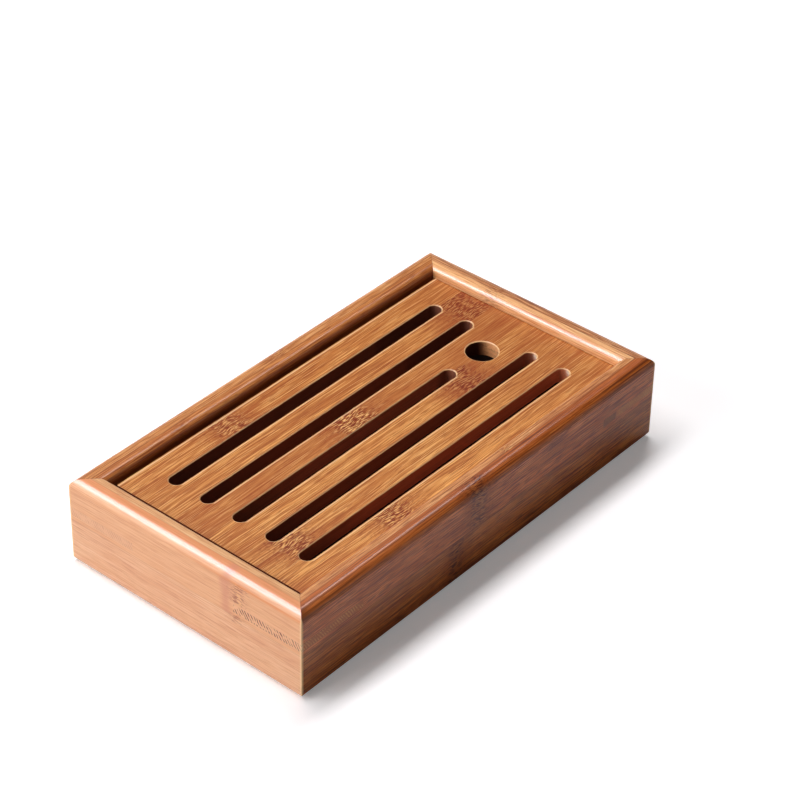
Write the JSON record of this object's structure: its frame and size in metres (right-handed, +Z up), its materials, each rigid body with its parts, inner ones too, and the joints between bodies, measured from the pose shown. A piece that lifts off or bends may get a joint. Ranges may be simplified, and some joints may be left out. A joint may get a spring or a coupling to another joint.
{
  "type": "tea tray",
  "caption": "Rectangular bamboo box tray with rounded rims and mitred corners, a slotted deck that lifts out by a finger hole, and a drip tray inside that catches poured water.",
  "frame": {"origin": "centre of the footprint on the table", "axes": "+X along the long side, towards the finger hole; +Y across, towards the back wall; +Z up"},
  "size_m": [0.25, 0.14, 0.0466],
  "materials": {
    "bamboo_wall": "caramel carbonised bamboo, side-pressed, satin lacquer",
    "bamboo_wall_inner": "paler caramel bamboo, satin lacquer",
    "bamboo_key": "bamboo cut across at a slant, satin lacquer",
    "bamboo_deck": "caramel flat-pressed bamboo with knots, satin lacquer",
    "bamboo_batten": "caramel bamboo, thin lacquer",
    "bamboo_ledge": "caramel bamboo, thin lacquer",
    "bamboo_panel": "bamboo plywood, matt",
    "tray_plastic": "dark brown moulded plastic, fine satin"
  },
  "bodies": {
    "box": {"front_wall_outer_upper": "bamboo_wall", "front_wall_outer_lower": "bamboo_wall", "front_wall_inner": "bamboo_wall_inner", "right_wall_outer_upper": "bamboo_wall", "right_wall_outer_lower": "bamboo_wall", "right_wall_inner": "bamboo_wall_inner", "back_wall_outer_upper": "bamboo_wall", "back_wall_outer_lower": "bamboo_wall", "back_wall_inner": "bamboo_wall_inner", "left_wall_outer_upper": "bamboo_wall", "left_wall_outer_lower": "bamboo_wall", "left_wall_inner": "bamboo_wall_inner", "corner_key_front_left": "bamboo_key", "corner_key_front_right": "bamboo_key", "corner_key_back_left": "bamboo_key", "corner_key_back_right": "bamboo_key", "bottom_panel": "bamboo_panel", "front_ledge": "bamboo_ledge", "back_ledge": "bamboo_ledge"},
    "drip_tray": {"drip_tray": "tray_plastic"},
    "deck": {"deck_strip_1": "bamboo_deck", "deck_strip_2": "bamboo_deck", "deck_strip_3": "bamboo_deck", "deck_strip_4": "bamboo_deck", "deck_strip_5": "bamboo_deck", "deck_strip_6": "bamboo_deck", "deck_batten_left": "bamboo_batten", "deck_batten_right": "bamboo_batten"}
  },
  "joints": [
    {"name": "tray_lift", "type": "slide", "parent": "box", "child": "drip_tray", "axis": [0, 0, 1], "range_m": [0, 0.06]},
    {"name": "deck_lift", "type": "slide", "parent": "drip_tray", "child": "deck", "axis": [0, 0, 1], "range_m": [0, 0.06]}
  ]
}
